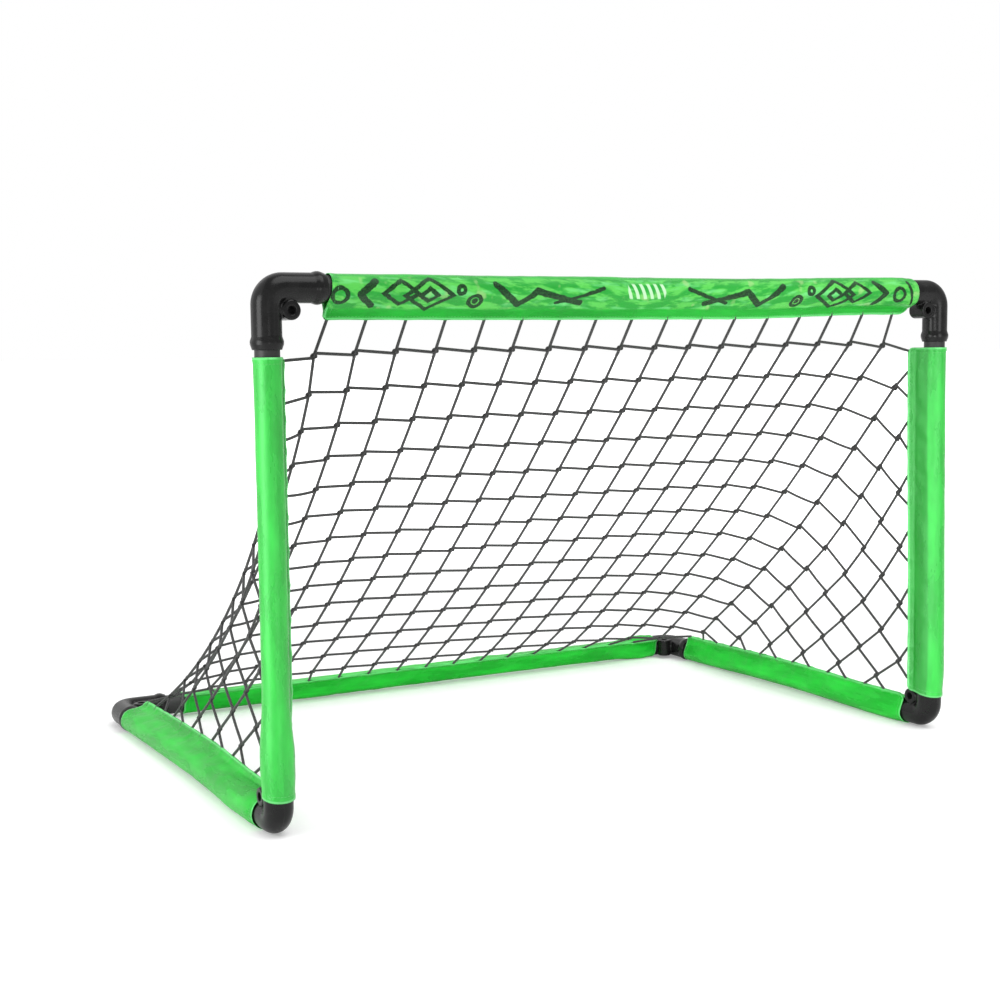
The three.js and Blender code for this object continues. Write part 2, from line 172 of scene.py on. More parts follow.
# Stitches
STITCH = 0.0026
STITCH_GAP = 0.0010
STITCH_RADIUS = 0.00022
STITCH_SIDES = 6
STITCH_POINTS = 4
END_SEAM = 0.005
LEAST_HEM_LINE = 0.1

# Net: its knots, and where its edges meet the hems, from the frame's corners. A power spaces them unevenly.
NET_ROWS = 14
NET_COLUMNS = 17
NET_TOP_LEFT = 0.0650
NET_TOP_RIGHT = 0.0660
NET_TOP_POWER = 1.03
NET_BACK_LEFT = 0.0754
NET_BACK_RIGHT = 0.0807
NET_POST_TOP = 0.0708
NET_POST_FOOT = 0.4810
NET_POST_POWER = 1.107
NET_SIDE_FRONT = 0.0670
NET_SIDE_REAR = 0.4866
NET_SIDE_POWER = 1.043
SIDE_STEP = 0.034

# Net: rest lengths of its cords, and how it settles
ROW_REST = 0.04516
COLUMN_REST = 0.04625
TOP_REST = 0.03692
BACK_REST = 0.02878
POST_REST = 0.02046
SIDE_REST = 0.02506
FIRST_ROW_REST = 0.0330
KNOT_WEIGHT = 0.0000933
CORD_SOFTNESS = 0.0047
SETTLE_STEPS = 2000
SETTLE_GAIN = 0.25
SETTLE_DAMPING = 0.96

# Cords and knots, which the cloth map marks for the material
CORD_RADIUS = 0.00165
CORD_SIDES = 8
CORD_LAY = 0.011
LINK_RINGS = 8
HEM_DEPTH = 0.006
ROW_STEP = 0.0030
MOST_SAG = 0.025
KNOT_LOOPS = 30
KNOT_SIDES = 6
KNOT_STEP = 0.0014
KNOT_STRAND = 0.00125
KNOT_SIZE = 0.00095
KNOT_STRETCH = 1.75
KNOT_MARK = 2.0

# Satin and thread. The weave, the reach of the hems' painted shade and that of the rims' painted highlight
# are in metres on the cloth.
DEEP_GREEN = (0.006, 0.34, 0.018)
BRIGHT_GREEN = (0.020, 0.58, 0.042)
# Painted shade on the sleeves' hems
HEM_PAINTED_SHADE_GREEN = (0.002, 0.21, 0.008, 1.0)
# Painted highlight on the cut ends and the hem's tip
RIM_PAINTED_HIGHLIGHT_GREEN = (0.20, 0.80, 0.26, 1.0)
SATIN_TINT = (0.42, 1.0, 0.50, 1.0)
DARK_THREAD = (0.05, 0.36, 0.07, 1.0)
LIGHT_THREAD = (0.11, 0.62, 0.15, 1.0)
WEAVE_THREAD = 0.00055
HEM_PAINTED_SHADE_REACH = (0.029, 0.032)
RIM_PAINTED_HIGHLIGHT_REACH = (0.0028, 0.0014)

# The banner's print, in millimetres: places are (out from the middle, down from the top line)
MILLIMETRES = 1000.0
PRINT_GREEN = (0.020, 0.34, 0.036, 1.0)
PRINT_LEAF = (0.120, 0.62, 0.095, 1.0)
PRINT_MINT = (0.200, 0.78, 0.260, 1.0)
PRINT_SAND = (0.420, 0.66, 0.260, 1.0)
PRINT_BLACK = (0.003, 0.008, 0.004, 1.0)
PRINT_PALE = (0.62, 0.88, 0.60, 1.0)
PRINT_DIAMONDS = [((264, 27), (27, 18)), ((296, 25), (19, 13)), ((264, 27), (10, 7))]
PRINT_RINGS = [((210, 34), 7), ((210, 34), 1.4), ((228, 21), 4), ((362, 28), 8)]
PRINT_THIN_LINES = [((56, 18), (112, 36)), ((376, 12), (386, 40))]
PRINT_BOLD_LINES = [
    ((82, 36), (138, 21)),
    ((138, 21), (158, 38)),
    ((158, 38), (188, 15)),
    ((324, 13), (341, 26)),
    ((341, 26), (326, 40)),
]

# Camera: place, lens in millimetres, and turns in degrees
CAMERA_PLACE = Vector((-0.99065, -1.75005, 0.4891))
CAMERA_LENS = 57.39
CAMERA_YAW = 28.985
CAMERA_PITCH = 5.6175
CAMERA_ROLL = -0.6467

# Lamps far away: name, azimuth, elevation, strength and softness, with angles in degrees
LAMPS = [
    ("top", 30, 64, 1.5, 50),
    ("left", -120, 14, 1.1, 100),
    ("rear", 165, 40, 0.4, 60),
]

# Softboxes: name, place, point that it faces, width, height, power, and spread in degrees
SOFTBOXES = [
    ("left_softbox", (-1.40, -0.52, 0.42), (-0.42, -0.25, 0.28), 0.60, 1.1, 6.6, 150),
    ("right_softbox", (0.48, -1.20, 0.45), (0.43, -0.25, 0.28), 0.36, 1.0, 0.95, 90),
    ("low_softbox", (-0.35, -1.10, 0.30), (0.30, 0.15, 0.03), 0.40, 0.4, 1.0, 70),
]

# Background and floor
WORLD_LIGHT = 0.45
GLOSS_SHARE = 0.12
FLOOR_GLOW = 0.22
FADE_START = 0.7
FADE_END = 2.4
FLOOR_SIZE = 120.0


# Geometry


def unit(vector):
    vector = np.asarray(vector, float)
    return vector / np.linalg.norm(vector, axis=-1, keepdims=True)


def smooth(value, low, high):
    share = np.clip((value - low) / (high - low), 0, 1)
    return share * share * (3 - 2 * share)


def turned(start, towards, degrees):
    """Unit direction turned by an angle from one direction towards another."""
    angle = math.radians(degrees)
    return start * math.cos(angle) + towards * math.sin(angle)


def corner(side, at_back, at_top):
    """Corner of the frame on the tubes' centre lines. side is -1 on the left and 1 on the right."""
    depth = HALF_DEPTH if at_back else -HALF_DEPTH
    return np.array([side * HALF_WIDTH, depth, BAR_LINE if at_top else GROUND_LINE])


def frame_matrix(origin, along, across):
    """Matrix with +X along one direction and +Y along another, square to it."""
    columns = np.stack([along, across, np.cross(along, across), origin], 1)
    return Matrix([*columns.tolist(), (0.0, 0.0, 0.0, 1.0)])


def quads(rows, columns, closed_rows=False, closed_columns=False):
    """Faces of a grid of points, which may close on itself either way."""
    index = np.arange(rows * columns).reshape(rows, columns)
    index = np.pad(index, ((0, closed_rows), (0, closed_columns)), mode="wrap")
    return np.stack([index[:-1, :-1], index[:-1, 1:], index[1:, 1:], index[1:, :-1]], -1).reshape(-1, 4)


def rings(line, side, over, sides, radius):
    """Rings of points round a line of places, turned from the directions in side towards those in over."""
    angle = 2 * np.pi * np.arange(sides)[:, None] / sides
    return line[:, None] + radius * (np.cos(angle) * side[:, None] + np.sin(angle) * over[:, None])


def run_along(line):
    """Distance of each place on a line, or on each of several, from its start."""
    steps = np.linalg.norm(np.diff(line, axis=-2), axis=-1)
    return np.concatenate([np.zeros_like(steps[..., :1]), np.cumsum(steps, -1)], -1)


# Pieces


def smooth_mesh(name, points, faces, material):
    mesh = bpy.data.meshes.new(name)
    mesh.from_pydata(np.asarray(points).tolist(), [], np.asarray(faces).tolist())
    mesh.polygons.foreach_set("use_smooth", [True] * len(mesh.polygons))
    mesh.materials.append(material)
    return mesh


def add_object(name, data):
    added = bpy.data.objects.new(name, data)
    bpy.context.scene.collection.objects.link(added)
    return added


def add_piece(name, mesh, replaced=None, matrix=None):
    """Makes a piece that rides on the goal and stands for the CAD node that replaced names."""
    piece = add_object(name, mesh)
    if matrix is not None:
        piece.matrix_world = matrix
    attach(piece, "root")
    if replaced:
        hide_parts(replaced)
    return piece


def set_map(mesh, places, name):
    """Gives each vertex a pair of values, such as its place on the flat cloth, as a UV map."""
    layer = mesh.uv_layers.new(name=name)
    corners = np.zeros(len(mesh.loops), int)
    mesh.loops.foreach_get("vertex_index", corners)
    layer.uv.foreach_set("vector", places.reshape(-1, 2)[corners].astype(np.float32).ravel())


# Materials


def grey(level):
    return (level, level, level, 1.0)


class Nodes:
    """Short forms for the nodes of a material or world. Most return one output socket of a new node."""

    def __init__(self, owner):
        owner.use_nodes = True
        self.owner = owner
        self.tree = owner.node_tree

    def fill(self, node, inputs):
        """Sets a node's inputs to values or to links from output sockets."""
        for key, value in inputs.items():
            if isinstance(value, bpy.types.NodeSocket):
                self.tree.links.new(value, node.inputs[key])
            else:
                node.inputs[key].default_value = value

    def shade(self, inputs):
        """Sets inputs of the material's shader, and returns the material."""
        self.fill(self.tree.nodes["Principled BSDF"], inputs)
        return self.owner

    def add(self, kind, inputs, **settings):
        """Adds a node, whose type's name is ShaderNode and then kind, and returns all its outputs."""
        node = self.tree.nodes.new(f"ShaderNode{kind}")
        for key, value in settings.items():
            setattr(node, key, value)
        self.fill(node, inputs)
        return node.outputs

    def place(self):
        return self.add("TexCoord", {})["Object"]

    def map(self, name):
        return self.add("UVMap", {}, uv_map=name)["UV"]

    def axes(self, vector):
        return self.add("SeparateXYZ", {"Vector": vector})

    def joined(self, x, y):
        return self.add("CombineXYZ", {"X": x, "Y": y})["Vector"]

    def math(self, operation, first, second=0.0, third=0.0, clamp=False):
        return self.add("Math", {0: first, 1: second, 2: third}, operation=operation, use_clamp=clamp)[0]

    def vector(self, operation, first, second=(0.0, 0.0, 0.0), output="Vector"):
        return self.add("VectorMath", {0: first, 1: second}, operation=operation)[output]

    def scaled(self, vector, *factors):
        """vector with its first two values multiplied."""
        return self.vector("MULTIPLY", vector, (*factors, 1.0))

    def noise(self, vector, scale, detail=2.0, roughness=0.5, output="Fac"):
        inputs = {"Vector": vector, "Scale": scale, "Detail": detail, "Roughness": roughness}
        return self.add("TexNoise", inputs)[output]

    def ramp(self, value, low, high, first=0.0, last=1.0):
        """value mapped smoothly from the range low to high onto first to last."""
        inputs = {"Value": value, "From Min": low, "From Max": high, "To Min": first, "To Max": last}
        return self.add("MapRange", inputs, interpolation_type="SMOOTHSTEP")["Result"]

    def band(self, value, low, high, edge):
        """1 between low and high, with soft edges inside them."""
        return self.math("MULTIPLY", self.ramp(value, low, low + edge), self.ramp(value, high, high - edge))

    def mix(self, share, first, second):
        """A colour between two others. They are the node's inputs 6 and 7, and the result its output 2."""
        return self.add("Mix", {0: share, 6: first, 7: second}, data_type="RGBA")[2]

    def bump(self, height, distance, strength, **more):
        inputs = {"Height": height, "Distance": distance, "Strength": strength, **more}
        return self.add("Bump", inputs)["Normal"]

    def distance(self, place, centre):
        return self.vector("DISTANCE", place, (*centre, 0.0), "Value")

    def line_distance(self, place, start, end):
        """Distance from a straight stroke between two places."""
        span = (end[0] - start[0], end[1] - start[1], 0.0)
        offset = self.vector("SUBTRACT", place, (*start, 0.0))
        run = self.vector("DOT_PRODUCT", offset, span, "Value")
        share = self.math("DIVIDE", run, span[0] ** 2 + span[1] ** 2, clamp=True)
        nearest = self.add("VectorMath", {0: span, "Scale": share}, operation="SCALE")["Vector"]
        return self.vector("DISTANCE", offset, nearest, "Value")

    def diamond_distance(self, place, centre, half):
        """Distance from the outline of a diamond with the given half width and half height."""
        size = self.vector("ABSOLUTE", self.vector("SUBTRACT", place, (*centre, 0.0)))
        reach = self.vector("DOT_PRODUCT", size, (1 / half[0], 1 / half[1], 0.0), "Value")
        slope = math.hypot(1 / half[0], 1 / half[1])
        return self.math("ABSOLUTE", self.math("DIVIDE", self.math("SUBTRACT", reach, 1.0), slope))

    def ring_distance(self, place, centre, radius):
        return self.math("ABSOLUTE", self.math("SUBTRACT", self.distance(place, centre), radius))

    def nearest(self, measure, place, shapes):
        """Distance from the nearest of some shapes, each measured by the same method."""
        distances = (measure(place, *shape) for shape in shapes)
        return functools.reduce(functools.partial(self.math, "MINIMUM"), distances)


def moulded_plastic():
    """Black injection-moulded plastic: fine texture, faint handling marks and the mould's parting line. The
    bore of the lug's eye is painted near black, as painted shade.
    """
    nodes = Nodes(bpy.data.materials.new("moulded_plastic"))
    place = nodes.place()
    x, y, z = nodes.axes(place)
    marks = nodes.noise(place, 45.0, detail=5.0, roughness=0.6)
    grain = nodes.bump(nodes.noise(place, 2600.0), 0.00003, 0.5)
    parting = nodes.ramp(nodes.math("ABSOLUTE", y), 0.00045, 0.00005)
    from_eye = nodes.distance(nodes.joined(x, z), (LUG_OFFSET, LUG_OFFSET))
    # The eye's bore is painted near black and matt: painted shade inside the hole.
    eye_painted_shade = nodes.ramp(from_eye, EYE_RADIUS + 0.0004, EYE_RADIUS + 0.0001)
    colour = nodes.mix(nodes.ramp(marks, 0.35, 0.75), grey(0.006), grey(0.012))
    return nodes.shade({
        "Base Color": nodes.mix(eye_painted_shade, colour, grey(0.001)),
        "Roughness": nodes.math("MAXIMUM", nodes.ramp(marks, 0.3, 0.8, 0.19, 0.30), eye_painted_shade),
        "Specular IOR Level": 0.25,
        "Normal": nodes.bump(parting, 0.00018, 0.8, Normal=grain),
    })


def coated_tube():
    """Matt black coating on thin tube, with its orange-peel surface."""
    nodes = Nodes(bpy.data.materials.new("coated_tube"))
    place = nodes.place()
    drift = nodes.noise(place, 60.0)
    return nodes.shade({
        "Base Color": nodes.mix(nodes.ramp(drift, 0.3, 0.7), grey(0.012), grey(0.02)),
        "Roughness": nodes.ramp(drift, 0.3, 0.7, 0.44, 0.56),
        "Normal": nodes.bump(nodes.noise(place, 900.0, detail=3.0), 0.00006, 0.6),
    })


def satin(name, index, level, hem_shade, gain=1.0):
    """Green satin: fine weave, long soft colour drift along the sleeve and a light sheen.

    gain paints the cloth lighter, as painted light on sleeves that the lamps light less. The hem is painted
    darker as painted shade, and the cut ends and the hem's tip paler as a painted highlight. The colour comes
    back unlinked, so that a print can go over it.
    """
    deep, bright = ((*(part * gain for part in tone), 1.0) for tone in (DEEP_GREEN, BRIGHT_GREEN))
    nodes = Nodes(bpy.data.materials.new(name))
    cloth = nodes.map("Cloth")
    across, _, _ = nodes.axes(cloth)
    from_end, from_tip, _ = nodes.axes(nodes.map("Edges"))
    drift = nodes.noise(nodes.scaled(cloth, 1.0, 0.22), 45.0, detail=4.0, roughness=0.55)
    slubs = nodes.noise(nodes.scaled(cloth, 1.0, 0.05), 1500.0)
    # The hem is painted darker, as painted shade.
    in_hem = nodes.ramp(nodes.math("ABSOLUTE", across), *HEM_PAINTED_SHADE_REACH, 0.0, hem_shade)
    # The cut ends and the hem's tip are painted paler, as a painted highlight on the folded edge.
    in_rim = nodes.ramp(nodes.math("MINIMUM", from_end, from_tip), *RIM_PAINTED_HIGHLIGHT_REACH, 0.0, 0.65)
    colour = nodes.mix(nodes.ramp(drift, 0.3, 0.72), deep, bright)
    colour = nodes.mix(in_hem, colour, HEM_PAINTED_SHADE_GREEN)
    colour = nodes.mix(nodes.ramp(slubs, 0.5, 0.85, 0.0, 0.18), colour, deep)
    nodes.shade({
        "Roughness": nodes.ramp(drift, 0.3, 0.7, 0.25, 0.32),
        "IOR": index,
        "Specular IOR Level": level,
        "Specular Tint": SATIN_TINT,
        "Sheen Weight": 0.05,
        "Sheen Tint": SATIN_TINT,
        "Normal": nodes.bump(weave_height(nodes, cloth), 0.00006, 0.45),
    })
    return nodes, nodes.mix(in_rim, colour, RIM_PAINTED_HIGHLIGHT_GREEN)


def weave_height(nodes, cloth):
    """Height of a plain weave."""
    turns = 2 * math.pi / WEAVE_THREAD
    across, along, _ = nodes.axes(nodes.scaled(cloth, turns, turns))
    return nodes.math("MULTIPLY", nodes.math("SINE", across), nodes.math("SINE", along))


def sleeve_cloth(name, **look):
    nodes, colour = satin(name, **look)
    return nodes.shade({"Base Color": colour})


def banner_cloth():
    """Printed satin: brushed patches of green with the same drawn shapes on both halves."""
    # The banner's hem gets some painted shade.
    nodes, colour = satin("banner_satin", index=1.5, level=0.5, hem_shade=0.3)
    down, along, _ = nodes.axes(nodes.scaled(nodes.map("Cloth"), MILLIMETRES, MILLIMETRES))
    out = nodes.math("ABSOLUTE", nodes.math("SUBTRACT", along, HALF_WIDTH * MILLIMETRES))
    flat = nodes.joined(along, down)
    colour = brush_patches(nodes, colour, flat, out, down)
    colour = draw_shapes(nodes, colour, flat, out, down)
    return nodes.shade({"Base Color": paint_bars(nodes, colour, along, out, down)})


def brush_patches(nodes, colour, flat, out, down):
    slanted = nodes.joined(nodes.math("MULTIPLY_ADD", down, 1.3, out), down)
    elsewhere = nodes.vector("ADD", slanted, (0.0, 90.0, 0.0))
    strokes = nodes.noise(nodes.scaled(slanted, 0.034, 0.085), 1.0, detail=3.0, roughness=0.6)
    patches = nodes.noise(nodes.scaled(elsewhere, 0.018, 0.06), 1.4, detail=3.0)
    haze = nodes.ramp(nodes.noise(flat, 0.055), 0.60, 0.72, 0.0, 0.6)
    brushed = nodes.mix(nodes.ramp(strokes, 0.44, 0.58), PRINT_GREEN, PRINT_LEAF)
    brushed = nodes.mix(nodes.ramp(patches, 0.52, 0.66, 0.0, 0.7), brushed, PRINT_MINT)
    brushed = nodes.mix(haze, brushed, PRINT_SAND)
    printed = nodes.band(down, 5.0, 46.0, edge=3.0)
    return nodes.mix(nodes.math("MULTIPLY", printed, 0.85), colour, brushed)


def draw_shapes(nodes, colour, flat, out, down):
    """The drawn shapes, with slightly shaky lines and worn ink."""
    shake = nodes.vector("SUBTRACT", nodes.noise(flat, 0.16, output="Color"), (0.5, 0.5, 0.5))
    place = nodes.vector("ADD", nodes.joined(out, down), nodes.vector("MULTIPLY", shake, (2.4, 2.4, 0.0)))
    diamonds = nodes.nearest(nodes.diamond_distance, place, PRINT_DIAMONDS)
    circles = nodes.nearest(nodes.ring_distance, place, PRINT_RINGS)
    lines = nodes.nearest(nodes.line_distance, place, PRINT_THIN_LINES)
    thin = nodes.math("MINIMUM", nodes.math("MINIMUM", diamonds, circles), lines)
    bold = nodes.nearest(nodes.line_distance, place, PRINT_BOLD_LINES)
    ink = nodes.math("MAXIMUM", nodes.ramp(thin, 2.7, 1.8), nodes.ramp(bold, 4.2, 3.2))
    worn = nodes.ramp(nodes.noise(flat, 0.5, detail=3.0), 0.35, 0.6, 0.90, 1.0)
    return nodes.mix(nodes.math("MULTIPLY", ink, worn), colour, PRINT_BLACK)


def paint_bars(nodes, colour, along, out, down):
    """A group of slanted pale bars in the middle."""
    bars = nodes.math("PINGPONG", nodes.math("MULTIPLY_ADD", down, -0.55, along), 4.6)
    in_group = nodes.math("MULTIPLY", nodes.ramp(out, 26.0, 24.0), nodes.band(down, 12.0, 31.0, edge=2.0))
    painted = nodes.math("MULTIPLY", nodes.ramp(bars, 2.1, 2.9), in_group)
    return nodes.mix(nodes.math("MULTIPLY", painted, 0.85), colour, PRINT_PALE)


def net_cord():
    """Black twisted cord: two strands whose lay is in the bump, and a slight fuzz. Its colour is painted
    darker between the strands and on the knots, as painted shade.
    """
    nodes = Nodes(bpy.data.materials.new("net_cord"))
    around, along, _ = nodes.axes(nodes.map("Cloth"))
    turn = 2 * math.pi
    lay = nodes.math("MULTIPLY_ADD", along, turn / CORD_LAY, nodes.math("MULTIPLY", around, 2 * turn))
    strands = nodes.math("ABSOLUTE", nodes.math("SINE", lay))
    fuzz = nodes.ramp(nodes.noise(nodes.place(), 1800.0, detail=3.0), 0.2, 0.6)
    # Darker where the strands meet: painted shade in the grooves, broken up by the fuzz.
    colour = nodes.mix(nodes.math("MULTIPLY", strands, fuzz), grey(0.010), grey(0.052))
    return nodes.shade({
        # The knots are painted in the darkest grey: painted shade in the tight knot.
        "Base Color": nodes.mix(nodes.ramp(around, 1.4, 1.6), colour, grey(0.010)),
        "Roughness": 0.6,
        "Sheen Weight": 0.15,
        "Normal": nodes.bump(strands, 0.00025, 0.8),
    })


def sewing_thread():
    nodes = Nodes(bpy.data.materials.new("sewing_thread"))
    colour = nodes.mix(nodes.noise(nodes.place(), 3000.0), DARK_THREAD, LIGHT_THREAD)
    return nodes.shade({"Base Color": colour, "Roughness": 0.55, "Sheen Weight": 0.2})


# Elbows


def smooth_union(first, second, blend):
    share = np.clip(0.5 + 0.5 * (second - first) / blend, 0, 1)
    return second + (first - second) * share - blend * share * (1 - share)


def rounded_disc(radial, axial, radius, half_length, edge):
    """Distance to a short round bar with rounded rims."""
    beyond = np.stack([radial - radius + edge, np.abs(axial) - half_length + edge])
    return np.minimum(beyond.max(0), 0) + np.linalg.norm(np.maximum(beyond, 0), axis=0) - edge


def line_distance(x, y, z):
    """Distance from the elbow's centre line: arms along +X and +Z that a quarter turn joins."""
    turn = np.abs(np.hypot(x - ELBOW_BEND, z - ELBOW_BEND) - ELBOW_BEND)
    along_x = np.where(x >= ELBOW_BEND, np.abs(z), np.inf)
    along_z = np.where(z >= ELBOW_BEND, np.abs(x), np.inf)
    in_turn = (x < ELBOW_BEND) & (z < ELBOW_BEND)
    return np.hypot(np.where(in_turn, turn, np.minimum(along_x, along_z)), y)


def elbow_distance(x, y, z):
    """Signed distance to the plastic of an elbow with its corner at the origin and its lug's axis along Y."""
    reach = np.maximum(x, z)
    line = line_distance(x, y, z)
    step = MOUTH_CHAMFER
    outer = np.interp(
        reach,
        [BEAD_START - BEAD_RISE, BEAD_START + step, ELBOW_ARM - BEAD_TAPER, ELBOW_ARM],
        [ELBOW_RADIUS, BEAD_RADIUS, BEAD_RADIUS, MOUTH_RADIUS],
    )
    shoulder = ELBOW_ARM - SOCKET_DEPTH
    inner = np.interp(
        reach,
        [shoulder - step, shoulder, ELBOW_ARM - step, ELBOW_ARM],
        [PASSAGE_RADIUS, SOCKET_RADIUS, SOCKET_RADIUS, SOCKET_RADIUS + step],
    )
    body = np.maximum(line - outer, reach - ELBOW_ARM)
    from_eye = np.hypot(x - LUG_OFFSET, z - LUG_OFFSET)
    lug = rounded_disc(from_eye, y, LUG_RADIUS, LUG_HALF_LENGTH, LUG_EDGE)
    countersink = np.maximum(np.abs(y) - LUG_HALF_LENGTH + EYE_CHAMFER, 0)
    plastic = np.maximum(smooth_union(body, lug, LUG_FILLET), inner - line)
    return np.maximum(plastic, EYE_RADIUS + countersink - from_eye)


def corner_values(grid, offset):
    """The grid's values at one of the eight corners of each cell."""
    return grid[tuple(slice(o, o + n - 1) for o, n in zip(offset, grid.shape))]


def surface_cells(inside):
    """Cells whose eight corners aren't all on one side, and their numbers from 0. Other cells hold -1."""
    count = sum(corner_values(inside, offset).astype(int) for offset in itertools.product((0, 1), repeat=3))
    active = (count > 0) & (count < 8)
    index = np.full(active.shape, -1)
    index[active] = np.arange(active.sum())
    return active, index


def cell_points(value, active):
    """For each active cell, the mean of the places where its edges cross the surface."""
    total = np.zeros((active.sum(), 3))
    crossings = np.zeros((active.sum(), 1))
    for start in itertools.product((0, 1), repeat=3):
        for axis in range(3):
            if start[axis]:
                continue
            end = tuple(1 if i == axis else start[i] for i in range(3))
            a, b = corner_values(value, start)[active], corner_values(value, end)[active]
            crossed = (a < 0) != (b < 0)
            share = np.where(crossed, a / np.where(crossed, a - b, 1), 0)[:, None]
            place = np.array(start) + share * (np.array(end) - np.array(start))
            total += place * crossed[:, None]
            crossings += crossed[:, None]
    return np.argwhere(active) + total / crossings


def surface_net(distance, low, high, step):
    """Closed mesh of quads on the surface where distance is zero, by surface nets on an even grid."""
    axes = [np.arange(a, b + step, step) for a, b in zip(low, high)]
    value = distance(*np.meshgrid(*axes, indexing="ij"))
    inside = value < 0
    active, index = surface_cells(inside)
    steps = np.eye(3, dtype=int)
    found = []
    for axis in range(3):
        first, second = steps[(axis + 1) % 3], steps[(axis + 2) % 3]
        starts = np.argwhere(np.diff(inside, axis=axis))
        around = ((1, 1), (0, 1), (0, 0), (1, 0))
        faces = np.stack([index[tuple((starts - i * first - j * second).T)] for i, j in around], 1)
        outward = inside[tuple(starts.T)]
        faces[~outward] = faces[~outward][:, ::-1]
        found.append(faces)
    return np.array(low) + step * cell_points(value, active), np.concatenate(found)


def gradient(distance, points, reach=2e-5):
    sides = [distance(*(points + s).T) - distance(*(points - s).T) for s in np.eye(3) * reach]
    return np.stack(sides, 1) / (2 * reach)


def settle_on_surface(distance, points, faces, rounds=4):
    """Evens the mesh out and moves each point back onto the surface."""
    edges = np.concatenate([faces[:, [i, (i + 1) % 4]] for i in range(4)])
    degree = np.bincount(edges.ravel(), minlength=len(points))[:, None]
    for _ in range(rounds):
        around = np.zeros_like(points)
        np.add.at(around, edges[:, 0], points[edges[:, 1]])
        np.add.at(around, edges[:, 1], points[edges[:, 0]])
        points = (points + around / degree) / 2
        for _ in range(3):
            slope = gradient(distance, points)
            steepness = np.maximum((slope**2).sum(1, keepdims=True), 0.25)
            move = distance(*points.T)[:, None] * slope / steepness
            points = points - np.clip(move, -ELBOW_GRID / 2, ELBOW_GRID / 2)
    return points


def elbow_mesh(material):
    margin = 2 * ELBOW_GRID
    low = np.array([-BEAD_RADIUS, -BEAD_RADIUS, -BEAD_RADIUS]) - margin
    high = np.array([ELBOW_ARM, BEAD_RADIUS, ELBOW_ARM]) + margin
    points, faces = surface_net(elbow_distance, low, high, ELBOW_GRID)
    points = settle_on_surface(elbow_distance, points, faces)
    return smooth_mesh("elbow", points, faces, material)


def add_elbows(material):
    """The six elbows, each turned so that its two arms lie on its tubes."""
    mesh = elbow_mesh(material)
    places = [("top", False, True, -UP), ("front", False, False, UP), ("rear", True, False, -BACK)]
    for (place, at_back, at_top, second_arm), hand in itertools.product(places, HANDS):
        side = HANDS[hand]
        first_arm = BACK if place == "front" else -side * RIGHT
        matrix = frame_matrix(corner(side, at_back, at_top), first_arm, np.cross(second_arm, first_arm))
        node = f"{place}_{hand}_elbow"
        add_piece(f"{node}_moulding", mesh, node, matrix)


# Tubes


def revolved(profile, sides):
    """Closed ring surface: profile is a closed loop of (along, radius), turned about the X axis."""
    along, radius = np.array(profile).T[:, :, None]
    angle = 2 * np.pi * np.arange(sides) / sides
    points = np.stack(np.broadcast_arrays(along, radius * np.cos(angle), radius * np.sin(angle)), -1)
    return points.reshape(-1, 3), quads(len(profile), sides, closed_rows=True, closed_columns=True)


def add_tube(node, material):
    """A hollow tube along the longest side of its node's box, with slightly rounded rims."""
    size = tube_size(node)
    length = max(size)
    along = np.eye(3)[list(size).index(length)]
    start = np.array(middle(node)) - along * length / 2
    inner = TUBE_RADIUS - TUBE_WALL
    rim = [
        (TUBE_EDGE, TUBE_RADIUS),
        (0.0, TUBE_RADIUS - TUBE_EDGE),
        (0.0, inner + TUBE_EDGE),
        (TUBE_EDGE, inner),
    ]
    profile = [(length - place, radius) for place, radius in rim] + rim[::-1]
    name = f"{node}_coated"
    mesh = smooth_mesh(name, *revolved(profile, TUBE_SIDES), material)
    mesh.set_sharp_from_angle(angle=SHARP_ANGLE)
    add_piece(name, mesh, node, frame_matrix(start, along, np.roll(along, 1)))


# Sleeves


@dataclasses.dataclass
class Sleeve:
    """One sleeve, which runs from the corner at its origin to the one at its span.

    ends are the distances of its two cuts from the corners, radii its radii there, slopes the cuts' slants
    towards the hem and square to it, and rounding the radii of the cuts at the hem's tip.
    """

    node: str
    origin: np.ndarray
    along: np.ndarray
    hem: np.ndarray
    span: float
    ends: tuple
    radii: tuple
    taper: float
    folds: float
    seed: int
    slopes: tuple = ((0.0, 0.0), (0.0, 0.0))
    rounding: tuple = (0.006, 0.006)
    threads: list = dataclasses.field(default_factory=list)

    @property
    def square(self):
        return np.cross(self.along, self.hem)

    @property
    def length(self):
        return self.span - sum(self.ends)

    def radius_at(self, place, gathered=False):
        """Radius of the tube part, which widens to cover elbows. Gathered, it draws in behind their beads."""
        radius = SLEEVE_RADIUS
        reach = ELBOW_ARM + COLLAR_OVERLAP
        for distance, end_radius, end in zip((place, self.span - place), self.radii, self.ends):
            widened = 1 - smooth(distance, reach, reach + self.taper)
            radius = radius + (end_radius - SLEEVE_RADIUS) * widened
            if gathered and end < BEAD_START:
                drawn_in = 1 - smooth(distance, end, BEAD_START + GATHER_OVERLAP)
                radius = radius - (end_radius - GATHER_RADIUS) * drawn_in
        return radius

    def reach_at(self, place):
        """Distance of the hem's tip from the tube's axis: cloth round an elbow is missing in the hem."""
        return HEM_REACH - GIRTH_SHARE * (self.radius_at(place) - SLEEVE_RADIUS)

    def to_frame(self, along, hem, square):
        """Points of the frame from distances along the sleeve, towards its hem and square to both."""
        directions = np.stack([self.along, self.hem, self.square])
        return self.origin + np.stack([along, hem, square], -1) @ directions


def lug_slopes(along, hem, towards_lug):
    """Slopes of a cut end that leans away from the elbow's lug."""
    return LUG_SLOPE * (hem @ towards_lug), LUG_SLOPE * (np.cross(along, hem) @ towards_lug)


